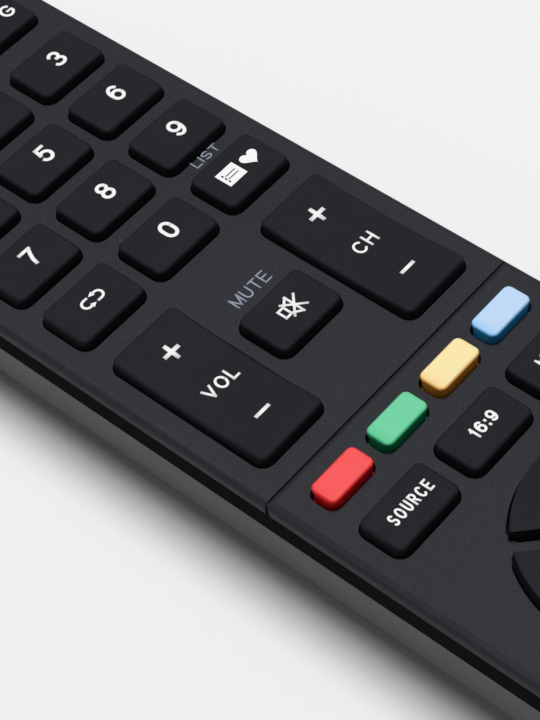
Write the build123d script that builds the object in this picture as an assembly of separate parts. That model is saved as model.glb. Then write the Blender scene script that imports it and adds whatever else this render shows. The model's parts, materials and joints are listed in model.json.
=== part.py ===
from build123d import *
import os
from math import cos, pi, radians, sin, tan

# Universal remote control: a slim hand-held infrared remote with forty rubber keys.
# A charcoal faceplate lies on a black frame, and a grey belly with a battery bay closes the back.
# Millimetres. X runs across, +Y to the infrared end, +Z out of the keys.
# The origin is the middle of the flat back that the remote lies on.

# Casing
SIDE_MARGIN = 4.0        # from the outer keys to the side of the body
END_BOW = 2.0            # how far each end bows out in plan
PLAN_CORNER = 8.0
BACK_CORNER = 9.0        # round of the corners in plan where the belly meets the flat back
WALL = 1.5
BELLY_TAPER = 9.0        # degrees that the belly's sides lean in
BELLY_RADIUS = 7.0
PLATE_THICKNESS = 2.0
PLATE_EDGE_RADIUS = 1.1
FRAME_HEIGHT = 3.3
JOINT_CHAMFER = 0.2
LIP_DEPTH = 2.0
LIP_WALL = 0.9
LIP_GAP = 0.15
GROOVE_WIDTH = 0.7
GROOVE_DEPTH = 0.4

# Keys
KEY_HEIGHT = 1.65        # above the faceplate
KEY_TRAVEL = 0.9
KEY_GAP = 0.25           # between a key and its hole
PRESS_GAP = 0.3          # left under a key that is pressed home
FLANGE_WIDTH = 0.45
FLANGE_THICKNESS = 0.8
FLANGE_REST_GAP = 0.4
KEY_WIDTH = 11.6
KEY_DEPTH = 8.1
COLUMN_GAP = 2.9         # between the edges of two keys
ROW_GAP = 3.55
KEY_CORNER = 1.4
KEY_EDGE = 0.4           # bevel round the top of a key
KEY_FLARE = 0.27         # how much further out a black key's sides stand at their foot than at the top
SHORT_KEY_DEPTH = 6.7
SHORT_ROW_GAP = 3.6
ROCKER_LENGTH = 25.7
ROCKER_FLANGE_LENGTH = 8.0
FULCRUM_WIDTH = 8.0
FULCRUM_THICKNESS = 1.0
COLOUR_DEPTH = 4.1
COLOUR_GAP = 2.37        # between two colour keys
COLOUR_INSET = 0.35      # from the outer edge of the columns to the first colour key
COLOUR_END_ROOM = 0.15   # extra room in its hole at each end of a colour key
COLOUR_CORNER = 1.3
COLOUR_EDGE_RADIUS = 0.6 # round of the top of a colour key
POWER_DIAMETER = 9.6
OK_DIAMETER = 13.4
OK_GAP = 2.6             # between the OK key and the navigation ring
NAV_BAND = 6.8           # from the inside to the outside of the ring
NAV_SLOT = 2.8           # web of faceplate between two arcs
NAV_CORNER = 1.2

# Gaps between the groups of keys, edge to edge
TOP_MARGIN = 9.5
POWER_ROW_GAP = 6.5
GUIDE_ROW_GAP = 5.4
ROCKER_ROW_GAP = 4.5
GROOVE_UPPER_GAP = 3.43
GROOVE_LOWER_GAP = 3.37
COLOUR_ROW_GAP = 3.9
NAV_GAP = 4.6
BOTTOM_MARGIN = 12.0

# Keypad mat, circuit board and what it carries
MAT_THICKNESS = 0.8
MAT_GAP = 0.3
MAT_INSET = 0.3
BOARD_THICKNESS = 1.2
BOARD_GAP = 0.3
SCREW_FROM_SIDE = 6.3    # from the side of the body to the middle of a screw
SCREW_HEAD_DIAMETER = 3.4
SCREW_HEAD_HEIGHT = 1.0
SCREW_HEAD_BEVEL = 0.4
SCREW_DIAMETER = 1.8
SCREW_LENGTH = 6.5
SCREW_PILOT_GAP = 0.05
SCREW_HOLE_GAP = 0.2
POST_DIAMETER = 4.4
IR_LED_DIAMETER = 5.0
IR_LED_FLANGE_DIAMETER = 5.8
IR_LED_FLANGE_THICKNESS = 1.0
IR_LED_BARREL = 5.2
IR_LED_SETBACK = 0.6     # from the window to the tip
LEAD_SIZE = 0.5
LEAD_PITCH = 2.54
LEAD_RUN = 2.2
STATUS_LED_DIAMETER = 3.0
STATUS_LED_FLANGE_DIAMETER = 3.8
STATUS_LED_PROUD = 0.3
CHIP_LENGTH = 10.3
CHIP_WIDTH = 7.5
CHIP_HEIGHT = 2.3
CHIP_PINS = 8            # on each side
PIN_PITCH = 1.27
PIN_WIDTH = 0.42
PIN_REACH = 1.3
PIN_THICKNESS = 0.3
CHIP_FROM_GROOVE = 22.0
RESONATOR_WIDTH = 7.0
RESONATOR_DEPTH = 2.5
RESONATOR_HEIGHT = 4.5
RESONATOR_FROM_CHIP = 10.0
CAPACITOR_DIAMETER = 6.3
CAPACITOR_HEIGHT = 7.5
CAPACITOR_FROM_CHIP = 12.0
CAPACITOR_BEAD = 0.3     # depth of the groove rolled into its can

# Infrared window
WINDOW_WIDTH = 18.0
WINDOW_HEIGHT = 6.5
WINDOW_GAP = 0.1
WINDOW_FLANGE = 1.2
WINDOW_FLANGE_THICKNESS = 0.8

# Battery bay, its cover, two cells and their contacts
CELL_DIAMETER = 10.5
CELL_LENGTH = 44.5
CELL_GAP = 0.3
CELL_NUB_DIAMETER = 3.8
CELL_NUB_HEIGHT = 0.9
CELL_BEVEL = 0.5
CONTACT_THICKNESS = 0.4
CONTACT_HEIGHT = 7.0
CONTACT_WIDTH = 8.4
SPRING_LENGTH = 3.5
SPRING_BASE_RADIUS = 3.4
SPRING_TIP_RADIUS = 2.6
SPRING_WIRE = 0.5
SPRING_TURNS = 3
SPRING_STEPS = 12        # sections of the wire in each turn
SPRING_WIRE_SIDES = 6
SPRING_SEAT_GAP = 0.05
BAY_WALL = 1.0
ROOF_THICKNESS = 0.9
ROOF_GAP = 0.35
COVER_WIDTH = 30.0
COVER_GAP = 0.15
COVER_END_HEIGHT = 8.0
LEDGE_WALL = 1.2
LEDGE_THICKNESS = 1.2
LEDGE_END_GAP = 0.5
LOWER_LEDGE = 2.5
UPPER_LEDGE = 3.5
TONGUE_WIDTH = 4.0
TONGUE_LENGTH = 2.5
TONGUE_ROOT = 4.0
TONGUE_THICKNESS = 1.0
TONGUE_GAP = 0.3
GRIP_COUNT = 6
GRIP_PITCH = 2.2
GRIP_WIDTH = 16.0
GRIP_GROOVE = 1.0
GRIP_DEPTH = 0.45
GRIP_FROM_EDGE = 5.0

OVERRUN = 1.0            # how far a cutting shape runs past what it cuts

# Heights, from the back upwards
cell_z = WALL + CELL_GAP + CELL_DIAMETER / 2
roof_bottom = cell_z + CELL_DIAMETER / 2 + CELL_GAP
roof_top = roof_bottom + ROOF_THICKNESS
board_bottom = roof_top + ROOF_GAP
board_top = board_bottom + BOARD_THICKNESS
key_bottom = board_top + PRESS_GAP + KEY_TRAVEL
plate_bottom = key_bottom + FLANGE_THICKNESS + FLANGE_REST_GAP
plate_top = plate_bottom + PLATE_THICKNESS
frame_bottom = plate_bottom - FRAME_HEIGHT
key_top = plate_top + KEY_HEIGHT
rocker_axis = (plate_bottom + plate_top) / 2

# Widths, and the sizes of the navigation ring
column_pitch = KEY_WIDTH + COLUMN_GAP
row_pitch = KEY_DEPTH + ROW_GAP
short_row_pitch = SHORT_KEY_DEPTH + SHORT_ROW_GAP
columns_width = 2 * column_pitch + KEY_WIDTH
body_width = columns_width + 2 * SIDE_MARGIN
colour_width = (columns_width - 2 * COLOUR_INSET - 3 * COLOUR_GAP) / 4
colour_pitch = colour_width + COLOUR_GAP
nav_inner_radius = OK_DIAMETER / 2 + OK_GAP
nav_radius = nav_inner_radius + NAV_BAND

# Lengths, from the groove across the faceplate to each end
length_above = (GROOVE_UPPER_GAP + ROCKER_LENGTH + ROCKER_ROW_GAP + KEY_DEPTH + 3 * row_pitch
                + GUIDE_ROW_GAP + SHORT_KEY_DEPTH + POWER_ROW_GAP + POWER_DIAMETER + TOP_MARGIN)
length_below = (GROOVE_LOWER_GAP + COLOUR_DEPTH + COLOUR_ROW_GAP + 2 * SHORT_KEY_DEPTH + 2 * NAV_GAP
                + 2 * nav_radius + 2 * short_row_pitch + BOTTOM_MARGIN)
body_length = length_above + length_below
groove_y = body_length / 2 - length_above

# Rows of keys
rocker_y = groove_y + GROOVE_UPPER_GAP + ROCKER_LENGTH / 2
zero_row_y = rocker_y + ROCKER_LENGTH / 2 + ROCKER_ROW_GAP + KEY_DEPTH / 2
guide_row_y = zero_row_y + 3 * row_pitch + KEY_DEPTH / 2 + GUIDE_ROW_GAP + SHORT_KEY_DEPTH / 2
power_y = guide_row_y + SHORT_KEY_DEPTH / 2 + POWER_ROW_GAP + POWER_DIAMETER / 2
colour_y = groove_y - GROOVE_LOWER_GAP - COLOUR_DEPTH / 2
source_row_y = colour_y - COLOUR_DEPTH / 2 - COLOUR_ROW_GAP - SHORT_KEY_DEPTH / 2
nav_y = source_row_y - SHORT_KEY_DEPTH / 2 - NAV_GAP - nav_radius
back_row_y = nav_y - nav_radius - NAV_GAP - SHORT_KEY_DEPTH / 2

# Insets from the plan outline, and the bay's places along the body
lean = tan(radians(BELLY_TAPER))
lip_inset = WALL + LIP_DEPTH * lean + LIP_GAP
frame_inset = lip_inset + LIP_WALL
board_inset = frame_inset + BOARD_GAP
lower_ledge_y = -body_length / 2 + BELLY_RADIUS + frame_bottom * lean + LEDGE_END_GAP
bay_lower_y = lower_ledge_y + LOWER_LEDGE
bay_upper_y = bay_lower_y + CELL_LENGTH + SPRING_LENGTH + 2 * CONTACT_THICKNESS
cover_upper_y = bay_upper_y + UPPER_LEDGE
cell_x = CELL_DIAMETER / 2 + CELL_GAP
bay_half_width = cell_x + CELL_DIAMETER / 2 + CELL_GAP
tongue_top = WALL + COVER_GAP + TONGUE_THICKNESS
contact_z = tongue_top + TONGUE_GAP + CONTACT_HEIGHT / 2
upper_screw_y = guide_row_y + SHORT_KEY_DEPTH / 2 + POWER_ROW_GAP / 2
lower_screw_y = nav_y - nav_radius + SCREW_HEAD_DIAMETER / 2
screw_places = [(side * (body_width / 2 - SCREW_FROM_SIDE), y) for side in (-1, 1)
                for y in (upper_screw_y, lower_screw_y)]


def plan(inset, corner=PLAN_CORNER):
    """Plan outline of the remote, drawn in by an inset: straight sides, bowed ends, round corners."""
    half_width = body_width / 2 - inset
    half_length = body_length / 2 - inset
    shoulder = half_length - END_BOW
    sides = [Line((side * half_width, -side * shoulder), (side * half_width, side * shoulder))
             for side in (-1, 1)]
    ends = [ThreePointArc((-half_width, end * shoulder), (0, end * half_length), (half_width, end * shoulder))
            for end in (-1, 1)]
    outline = make_face(sides + ends).face()
    return outline.fillet_2d(corner - inset, outline.vertices())


def prism(outline, bottom, top):
    """Upright solid of a plan outline between two heights."""
    return extrude(Pos(0, 0, bottom) * outline, amount=top - bottom, dir=(0, 0, 1))


def block(x_range, y_range, z_range):
    """Box between its limits on X, Y and Z."""
    sizes = [limits[1] - limits[0] for limits in (x_range, y_range, z_range)]
    middles = [sum(limits) / 2 for limits in (x_range, y_range, z_range)]
    return Pos(*middles) * Box(*sizes)


def belly(inset, top=frame_bottom):
    """Belly between the flat back and the frame, as an outer form or, inset, as its hollow."""
    back_inset = inset + (frame_bottom - inset) * lean
    back = plan(back_inset, BACK_CORNER - inset + back_inset)
    rim = plan(inset + (frame_bottom - top) * lean)
    form = loft([Pos(0, 0, inset) * back, Pos(0, 0, top) * rim], ruled=True)
    return fillet(form.faces().sort_by(Axis.Z)[0].edges(), BELLY_RADIUS - inset)


def belly_shell(outer_inset, inner_inset):
    """Wall of the belly between two insets."""
    return belly(outer_inset) - belly(inner_inset, frame_bottom + OVERRUN)


def block_outlines(width, depth, corner, end_room=0):
    """Outlines of a block key's cap, its hole and its square-cornered foot, each grown by a margin."""
    def cap(grow):
        return RectangleRounded(width + 2 * grow, depth + 2 * grow, corner + grow).face()

    def hole(grow):
        return RectangleRounded(width + 2 * (end_room + grow), depth + 2 * grow, corner + grow).face()

    def foot(grow):
        return Rectangle(width + 2 * (end_room + grow), depth + 2 * grow).face()
    return cap, hole, foot


def round_outlines(diameter):
    """Outlines of a round key's cap, hole and foot."""
    def outline(grow):
        return Circle(diameter / 2 + grow).face()
    return outline, outline, outline


def nav_outlines(turn):
    """Outlines of one arc of the navigation ring, which is cut off along the diagonals."""
    def foot(grow):
        ring = Circle(nav_radius + grow) - Circle(nav_inner_radius - grow)
        slot = Rectangle(2 * (nav_radius + grow + OVERRUN), NAV_SLOT - 2 * grow)
        arcs = ring - Rot(0, 0, 45) * slot - Rot(0, 0, -45) * slot
        return Rot(0, 0, turn) * arcs.faces().sort_by(Axis.Y)[-1]

    def cap(grow):
        arc = foot(grow)
        return arc.fillet_2d(NAV_CORNER + grow, arc.vertices())
    return cap, cap, foot


class Key:
    """A key: its name, the outlines of its top and foot, its place and the kind of its sides and top edge."""

    def __init__(self, name, outlines, x, y, soft=False, rocks=False):
        self.name, self.soft, self.rocks = name, soft, rocks
        self.cap, self.hole, self.foot = outlines
        self.place = Pos(x, y, 0)
        self.flare = 0 if soft else KEY_FLARE

    def prism(self, outline, bottom, top):
        return self.place * prism(outline, bottom, top)

    def solid(self):
        if self.soft:
            cap = self.prism(self.cap(0), key_bottom, key_top)
            cap = fillet(cap.faces().sort_by(Axis.Z)[-1].edges(), COLOUR_EDGE_RADIUS)
        else:
            head = loft([Pos(0, 0, plate_top) * self.cap(self.flare), Pos(0, 0, key_top) * self.cap(0)],
                        ruled=True)
            head = chamfer(head.faces().sort_by(Axis.Z)[-1].edges(), KEY_EDGE)
            cap = self.prism(self.cap(self.flare), key_bottom, plate_top) + self.place * head
        flange_reach = self.flare + FLANGE_WIDTH
        if not self.rocks:
            return cap + self.prism(self.foot(flange_reach), key_bottom, key_bottom + FLANGE_THICKNESS)
        flange = block((-KEY_WIDTH / 2 - flange_reach, KEY_WIDTH / 2 + flange_reach),
                       (-ROCKER_FLANGE_LENGTH / 2, ROCKER_FLANGE_LENGTH / 2),
                       (key_bottom, key_bottom + FLANGE_THICKNESS))
        fulcrum = block((-FULCRUM_WIDTH / 2, FULCRUM_WIDTH / 2),
                        (-FULCRUM_THICKNESS / 2, FULCRUM_THICKNESS / 2),
                        (board_top + PRESS_GAP, key_bottom + FLANGE_THICKNESS))
        return cap + self.place * flange + self.place * fulcrum


def list_keys():
    """All the keys, row by row from the infrared end."""
    tall = block_outlines(KEY_WIDTH, KEY_DEPTH, KEY_CORNER)
    short = block_outlines(KEY_WIDTH, SHORT_KEY_DEPTH, KEY_CORNER)
    rocker = block_outlines(KEY_WIDTH, ROCKER_LENGTH, KEY_CORNER)
    colour = block_outlines(colour_width, COLOUR_DEPTH, COLOUR_CORNER, COLOUR_END_ROOM)
    keys = [Key("key_power", round_outlines(POWER_DIAMETER), -column_pitch, power_y),
            Key("rocker_volume", rocker, -column_pitch, rocker_y, rocks=True),
            Key("rocker_channel", rocker, column_pitch, rocker_y, rocks=True),
            Key("key_mute", tall, 0, rocker_y),
            Key("key_ok", round_outlines(OK_DIAMETER), 0, nav_y)]
    rows = [(guide_row_y, short, ("key_text", "key_subtitle", "key_guide")),
            (zero_row_y + 3 * row_pitch, tall, ("key_1", "key_2", "key_3")),
            (zero_row_y + 2 * row_pitch, tall, ("key_4", "key_5", "key_6")),
            (zero_row_y + row_pitch, tall, ("key_7", "key_8", "key_9")),
            (zero_row_y, tall, ("key_recall", "key_0", "key_favourites")),
            (source_row_y, short, ("key_source", "key_aspect", "key_menu")),
            (back_row_y, short, ("key_back", "key_info", "key_exit")),
            (back_row_y - short_row_pitch, short, ("key_rewind", "key_play", "key_forward")),
            (back_row_y - 2 * short_row_pitch, short, ("key_record", "key_stop", "key_pause"))]
    for y, outlines, names in rows:
        keys += [Key(name, outlines, (i - 1) * column_pitch, y) for i, name in enumerate(names)]
    for i, name in enumerate(("key_red", "key_green", "key_yellow", "key_blue")):
        keys.append(Key(name, colour, (i - 1.5) * colour_pitch, colour_y, soft=True))
    for i, name in enumerate(("nav_up", "nav_left", "nav_down", "nav_right")):
        keys.append(Key(name, nav_outlines(90 * i), 0, nav_y))
    return keys


def groove_cut():
    """Groove across the faceplate and down its sides: a steep upper wall and a slanted lower one."""
    top = make_face(Polyline((groove_y, plate_top + OVERRUN), (groove_y, plate_top - GROOVE_DEPTH),
                             (groove_y - GROOVE_WIDTH, plate_top),
                             (groove_y - GROOVE_WIDTH, plate_top + OVERRUN), close=True))
    cut = extrude(Plane.YZ * top, amount=body_width, both=True)
    for side in (-1, 1):
        edge = side * body_width / 2
        notch = make_face(Polyline((edge + side * OVERRUN, groove_y), (edge - side * GROOVE_DEPTH, groove_y),
                                   (edge, groove_y - GROOVE_WIDTH),
                                   (edge + side * OVERRUN, groove_y - GROOVE_WIDTH), close=True))
        cut += prism(notch, plate_bottom - OVERRUN, plate_top + OVERRUN)
    return cut


def make_faceplate(keys):
    """Charcoal plate on the front, with a hole for every key and for the lamp."""
    plate = prism(plan(0), plate_bottom, plate_top)
    plate = fillet(plate.faces().sort_by(Axis.Z)[-1].edges(), PLATE_EDGE_RADIUS)
    outlines = [key.place * key.hole(key.flare + KEY_GAP) for key in keys]
    outlines.append(Pos(column_pitch, power_y, 0) * Circle(STATUS_LED_DIAMETER / 2 + KEY_GAP))
    holes = [prism(outline, plate_bottom - OVERRUN, plate_top + OVERRUN) for outline in outlines]
    return plate - [*holes, groove_cut()]


def make_front_frame():
    """Black frame under the faceplate, whose lip locates it in the belly."""
    ring = prism(plan(0), frame_bottom, plate_bottom)
    ring = chamfer(ring.faces().sort_by(Axis.Z)[-1].edges(), JOINT_CHAMFER)
    ring += prism(plan(lip_inset, BACK_CORNER), frame_bottom - LIP_DEPTH, plate_bottom)
    ring -= prism(plan(frame_inset, BACK_CORNER), frame_bottom - LIP_DEPTH - OVERRUN, plate_bottom + OVERRUN)
    window_half = WINDOW_WIDTH / 2 + WINDOW_FLANGE + LIP_GAP
    return ring - block((-window_half, window_half), (body_length / 4, body_length),
                        (frame_bottom - LIP_DEPTH - OVERRUN, frame_bottom))


def window_box(grow):
    """Space of the infrared window at the top end, from its sill up to the frame."""
    half_width = WINDOW_WIDTH / 2 + grow
    return block((-half_width, half_width), (body_length / 4, body_length),
                 (frame_bottom - WINDOW_HEIGHT - grow, frame_bottom + min(grow, 0)))


def make_rear_housing():
    """Grey belly: posts for the board screws, the battery bay and the openings in its wall."""
    form = belly(0)
    housing = belly_shell(0, WALL)
    ledge_top = WALL + COVER_GAP + LEDGE_THICKNESS
    ledge_half = COVER_WIDTH / 2 + COVER_GAP + LEDGE_WALL
    ledge_upper_y = cover_upper_y + COVER_GAP + TONGUE_LENGTH + LEDGE_WALL
    housing += block((-ledge_half, ledge_half), (lower_ledge_y, ledge_upper_y), (WALL / 2, ledge_top))
    bay_outer = bay_half_width + BAY_WALL
    housing += block((-bay_outer, bay_outer), (bay_lower_y - BAY_WALL, bay_upper_y + BAY_WALL),
                     (WALL + COVER_GAP, roof_top))
    for x, y in screw_places:
        post = Pos(x, y, 0) * Circle(POST_DIAMETER / 2)
        housing += prism(post, WALL / 2, board_bottom) & form
    for x, y in screw_places:
        pilot = Pos(x, y, 0) * Circle(SCREW_DIAMETER / 2 + SCREW_PILOT_GAP)
        housing -= prism(pilot, board_top - SCREW_LENGTH - SCREW_HOLE_GAP, board_bottom + OVERRUN)
    housing -= block((-bay_half_width, bay_half_width), (bay_lower_y, bay_upper_y), (-OVERRUN, roof_bottom))
    pocket_half = COVER_WIDTH / 2 + COVER_GAP
    housing -= block((-pocket_half, pocket_half), (-body_length, cover_upper_y + COVER_GAP),
                     (-OVERRUN, WALL + COVER_GAP))
    housing -= block((-pocket_half, pocket_half), (-body_length, lower_ledge_y - LEDGE_END_GAP),
                     (-OVERRUN, COVER_END_HEIGHT + COVER_GAP))
    slot_half = TONGUE_WIDTH / 2 + TONGUE_GAP
    housing -= block((-slot_half, slot_half),
                     (lower_ledge_y - OVERRUN, cover_upper_y + TONGUE_LENGTH + TONGUE_GAP),
                     (WALL, tongue_top + TONGUE_GAP))
    return housing - window_box(WINDOW_GAP)


def make_battery_cover():
    """Sliding cover of the battery bay, which takes in the lower end of the belly."""
    half_width = COVER_WIDTH / 2
    cover = belly_shell(0, WALL) & block((-half_width, half_width), (-body_length, cover_upper_y),
                                         (-OVERRUN, COVER_END_HEIGHT))
    tongue_half = TONGUE_WIDTH / 2
    cover += block((-tongue_half, tongue_half), (cover_upper_y - TONGUE_ROOT, cover_upper_y),
                   (WALL / 2, tongue_top))
    cover += block((-tongue_half, tongue_half), (cover_upper_y - TONGUE_ROOT, cover_upper_y + TONGUE_LENGTH),
                   (WALL + COVER_GAP, tongue_top))
    for i in range(GRIP_COUNT):
        y = cover_upper_y - GRIP_FROM_EDGE - i * GRIP_PITCH
        cover -= block((-GRIP_WIDTH / 2, GRIP_WIDTH / 2), (y - GRIP_GROOVE, y), (-OVERRUN, GRIP_DEPTH))
    return cover


def make_ir_window():
    """Dark window in front of the infrared lamp, held by a flange behind the wall."""
    flange_inset = WALL + WINDOW_FLANGE_THICKNESS
    plug = belly_shell(0, flange_inset) & window_box(-WINDOW_GAP)
    skin = belly_shell(WALL + WINDOW_GAP, flange_inset)
    half_width = WINDOW_WIDTH / 2 + WINDOW_FLANGE
    sill = frame_bottom - WINDOW_HEIGHT - WINDOW_FLANGE
    return plug + (skin & block((-half_width, half_width), (body_length / 4, body_length),
                                (sill, frame_bottom - WINDOW_GAP)))


def make_board():
    """Circuit board with its screw holes."""
    board = prism(plan(board_inset, BACK_CORNER), board_bottom, board_top)
    for x, y in screw_places:
        board -= prism(Pos(x, y, 0) * Circle(SCREW_DIAMETER / 2 + SCREW_HOLE_GAP),
                       board_bottom - OVERRUN, board_top + OVERRUN)
    return board


def make_mat(keys):
    """Rubber keypad mat, with a pocket round each key, each screw head and the lamp."""
    top = board_top + MAT_THICKNESS
    mat = prism(plan(board_inset + MAT_INSET, BACK_CORNER), board_top, top)
    outlines = [key.place * key.foot(key.flare + FLANGE_WIDTH + MAT_GAP) for key in keys]
    outlines += [Pos(x, y, 0) * Circle(SCREW_HEAD_DIAMETER / 2 + MAT_GAP) for x, y in screw_places]
    outlines.append(Pos(column_pitch, power_y, 0) * Circle(STATUS_LED_FLANGE_DIAMETER / 2 + MAT_GAP))
    return mat - [prism(outline, board_top - OVERRUN, top + OVERRUN) for outline in outlines]


def make_screws():
    """Four screws that hold the board on its posts."""
    screws = []
    for x, y in screw_places:
        shank = prism(Circle(SCREW_DIAMETER / 2), board_top - SCREW_LENGTH, board_top)
        head = prism(Circle(SCREW_HEAD_DIAMETER / 2), board_top, board_top + SCREW_HEAD_HEIGHT)
        head = chamfer(head.faces().sort_by(Axis.Z)[-1].edges(), SCREW_HEAD_BEVEL)
        screws.append(Pos(x, y, 0) * (shank + head))
    return Compound(children=[screw.solid() for screw in screws])


def make_ir_led():
    """Infrared lamp that lies along Y behind the window, its two leads bent up to the board."""
    window_back = body_length / 2 - (WALL + WINDOW_FLANGE_THICKNESS) - WINDOW_HEIGHT * lean
    tip = window_back - IR_LED_SETBACK
    radius = IR_LED_DIAMETER / 2
    z = board_bottom - IR_LED_FLANGE_DIAMETER / 2 - ROOF_GAP
    base = tip - radius - IR_LED_BARREL
    axis = Plane(origin=(0, base, z), z_dir=(0, 1, 0))
    lamp = extrude(axis * Circle(radius), amount=IR_LED_BARREL)
    lamp += extrude(axis * Circle(IR_LED_FLANGE_DIAMETER / 2), amount=IR_LED_FLANGE_THICKNESS)
    lamp += Pos(0, tip - radius, z) * Sphere(radius)
    for side in (-1, 1):
        x = side * LEAD_PITCH / 2
        sides = (x - LEAD_SIZE / 2, x + LEAD_SIZE / 2)
        lamp += block(sides, (base - LEAD_RUN, base + IR_LED_FLANGE_THICKNESS),
                      (z - LEAD_SIZE / 2, z + LEAD_SIZE / 2))
        lamp += block(sides, (base - LEAD_RUN, base - LEAD_RUN + LEAD_SIZE),
                      (z - LEAD_SIZE / 2, board_bottom))
    return lamp


def make_status_led():
    """Small round lamp that stands on the board and shows through the faceplate."""
    place = Pos(column_pitch, power_y, 0)
    lens_top = plate_top + STATUS_LED_PROUD
    lens = prism(Circle(STATUS_LED_DIAMETER / 2), board_top, lens_top)
    lens = chamfer(lens.faces().sort_by(Axis.Z)[-1].edges(), STATUS_LED_PROUD)
    flange = prism(Circle(STATUS_LED_FLANGE_DIAMETER / 2), board_top, board_top + MAT_THICKNESS)
    return place * (lens + flange)


def make_chip():
    """Controller chip under the board, with gull-wing pins along two sides."""
    y = groove_y + CHIP_FROM_GROOVE
    pin_bottom = board_bottom - CHIP_HEIGHT / 2
    chip = block((-CHIP_WIDTH / 2, CHIP_WIDTH / 2), (y - CHIP_LENGTH / 2, y + CHIP_LENGTH / 2),
                 (board_bottom - CHIP_HEIGHT, board_bottom - PIN_THICKNESS))
    for side in (-1, 1):
        inner = side * CHIP_WIDTH / 2
        knee = inner + side * PIN_REACH / 2
        outer = inner + side * PIN_REACH
        for i in range(CHIP_PINS):
            pin_y = y + (i - (CHIP_PINS - 1) / 2) * PIN_PITCH
            along = (pin_y - PIN_WIDTH / 2, pin_y + PIN_WIDTH / 2)
            shoulder = sorted((inner, knee))
            chip += block(shoulder, along, (pin_bottom, pin_bottom + PIN_THICKNESS))
            chip += block(sorted((knee - side * PIN_THICKNESS, knee)), along, (pin_bottom, board_bottom))
            chip += block(sorted((knee - side * PIN_THICKNESS, outer)), along,
                          (board_bottom - PIN_THICKNESS, board_bottom))
    return chip


def make_resonator():
    """Ceramic resonator, a flat rounded block that hangs under the board."""
    y = groove_y + CHIP_FROM_GROOVE - RESONATOR_FROM_CHIP
    outline = Pos(0, y, 0) * SlotOverall(RESONATOR_WIDTH, RESONATOR_DEPTH)
    return prism(outline, board_bottom - RESONATOR_HEIGHT, board_bottom)


def make_capacitor():
    """Electrolytic capacitor that hangs under the board, with the groove rolled into its can."""
    radius = CAPACITOR_DIAMETER / 2
    neck = radius - CAPACITOR_BEAD
    low = board_bottom - CAPACITOR_HEIGHT
    bead_z = board_bottom - CAPACITOR_HEIGHT / 4
    profile = make_face(Polyline((0, low), (neck, low), (radius, low + CAPACITOR_BEAD),
                                 (radius, bead_z - CAPACITOR_BEAD), (neck, bead_z),
                                 (radius, bead_z + CAPACITOR_BEAD), (radius, board_bottom),
                                 (0, board_bottom), close=True))
    return Pos(CAPACITOR_FROM_CHIP, groove_y + CHIP_FROM_GROOVE, 0) * revolve(Plane.XZ * profile, Axis.Z)


def make_cell(side, facing):
    """One cell of the pair: a can with bevelled rims, and a nub that faces along Y."""
    height = CELL_LENGTH - CELL_NUB_HEIGHT
    can = chamfer(prism(Circle(CELL_DIAMETER / 2), 0, height).edges().filter_by(GeomType.CIRCLE), CELL_BEVEL)
    can += prism(Circle(CELL_NUB_DIAMETER / 2), height - CELL_BEVEL, CELL_LENGTH)
    plus_y = bay_upper_y - CONTACT_THICKNESS if facing > 0 else bay_lower_y + CONTACT_THICKNESS
    base = Plane(origin=(side * cell_x, plus_y - facing * CELL_LENGTH, cell_z), z_dir=(0, facing, 0))
    return base.location * can


def make_contact(x_range, y):
    """Sheet-metal battery contact that stands against an end wall of the bay."""
    return block(x_range, (y, y + CONTACT_THICKNESS),
                 (contact_z - CONTACT_HEIGHT / 2, contact_z + CONTACT_HEIGHT / 2))


def make_springs():
    """Two conical springs that press the flat ends of the cells, each a loft from turn to turn."""
    wire_radius = SPRING_WIRE / 2
    rise = SPRING_LENGTH - SPRING_WIRE - 2 * SPRING_SEAT_GAP
    steps = SPRING_TURNS * SPRING_STEPS
    sections = []
    for i in range(steps + 1):
        angle = 2 * pi * i / SPRING_STEPS
        radius = SPRING_BASE_RADIUS + (SPRING_TIP_RADIUS - SPRING_BASE_RADIUS) * i / steps
        outward = Vector(cos(angle), sin(angle), 0)
        section = Plane(origin=outward * radius + Vector(0, 0, rise * i / steps), x_dir=outward,
                        z_dir=(-sin(angle), cos(angle), 0))
        sections.append(section * RegularPolygon(wire_radius, SPRING_WIRE_SIDES))
    spring = loft(sections, ruled=True)
    seat = CONTACT_THICKNESS + SPRING_SEAT_GAP + wire_radius
    lower = Plane(origin=(-cell_x, bay_lower_y + seat, cell_z), z_dir=(0, 1, 0))
    upper = Plane(origin=(cell_x, bay_upper_y - seat, cell_z), z_dir=(0, -1, 0))
    return Compound(children=[(place.location * spring).solid() for place in (lower, upper)])


def main():
    keys = list_keys()
    half = CONTACT_WIDTH / 2
    upper_contact_y = bay_upper_y - CONTACT_THICKNESS
    pieces = {
        "faceplate": make_faceplate(keys),
        "front_frame": make_front_frame(),
        "rear_housing": make_rear_housing(),
        "battery_cover": make_battery_cover(),
        "ir_window": make_ir_window(),
        "circuit_board": make_board(),
        "keypad_mat": make_mat(keys),
        "board_screws": make_screws(),
        "ir_led": make_ir_led(),
        "status_led": make_status_led(),
        "controller_chip": make_chip(),
        "resonator": make_resonator(),
        "capacitor": make_capacitor(),
        "battery_cell_a": make_cell(-1, 1),
        "battery_cell_b": make_cell(1, -1),
        "positive_contact": make_contact((-cell_x - half, -cell_x + half), upper_contact_y),
        "negative_contact": make_contact((cell_x - half, cell_x + half), upper_contact_y),
        "bridge_contact": make_contact((-cell_x - half, cell_x + half), bay_lower_y),
        "battery_springs": make_springs(),
    }
    for key in keys:
        pieces[key.name] = key.solid()
    os.makedirs("parts", exist_ok=True)
    for name, shape in pieces.items():
        export_step(shape, f"parts/{name}.step")
    print("body", body_width, body_length, plate_top, "over the keys", key_top)
    print("rocker axis", rocker_y, rocker_axis, "groove", groove_y)


main()
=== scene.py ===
import json
from math import cos, pi, radians, sin

import bmesh
import bpy
from mathutils import Matrix, Vector

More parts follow.
